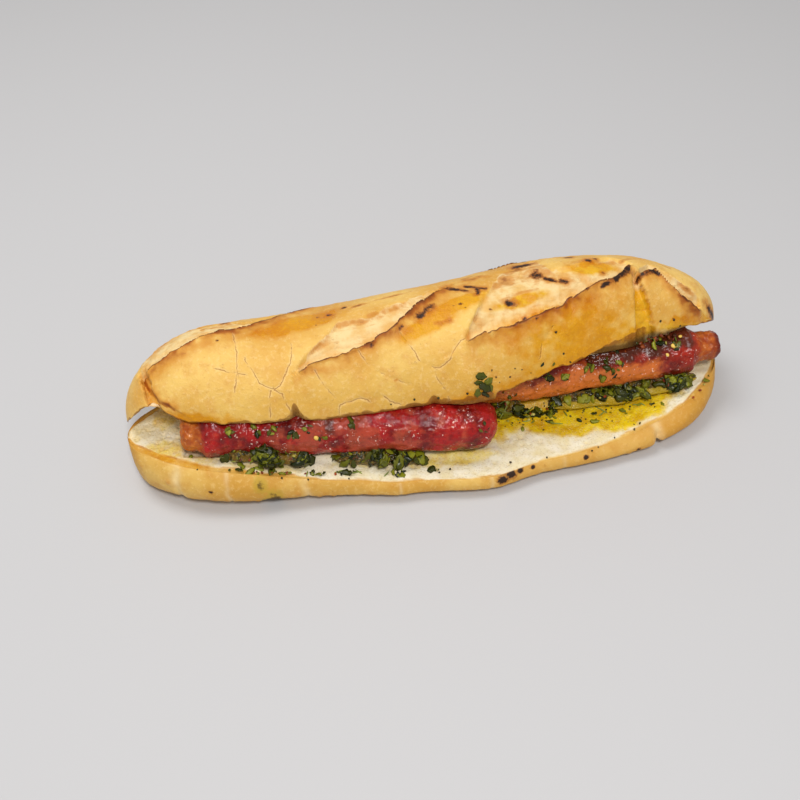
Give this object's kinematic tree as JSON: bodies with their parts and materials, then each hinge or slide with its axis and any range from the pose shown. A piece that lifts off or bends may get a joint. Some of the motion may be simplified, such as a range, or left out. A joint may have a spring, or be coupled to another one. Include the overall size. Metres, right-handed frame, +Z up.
{
  "type": "sausage sandwich",
  "caption": "Grilled sausages and chopped herb sauce in a scored, toasted bread roll that is cut open along its front.",
  "frame": {"origin": "centre of the sandwich's outline, on the surface it rests on", "axes": "+X along the roll towards its right end, +Y towards its closed back, +Z up from the flat base"},
  "size_m": [0.267, 0.0918, 0.0659],
  "materials": {
    "cut_bread": "soft pale crumb with a baked golden crust round it",
    "crust": "baked golden crust, matt with a faint sheen",
    "casing": "taut grilled sausage casing, glossy with fat",
    "grilled_casing": "grilled sausage casing, glossy and browned",
    "herbs": "chopped green herbs wet with oil"
  },
  "bodies": {
    "root": {"bread_bottom": "cut_bread", "bread_top": "crust", "sausage_left": "casing", "sausage_right": "grilled_casing", "chimichurri_left": "herbs", "chimichurri_middle": "herbs", "chimichurri_centre": "herbs", "chimichurri_right": "herbs"}
  },
  "joints": []
}
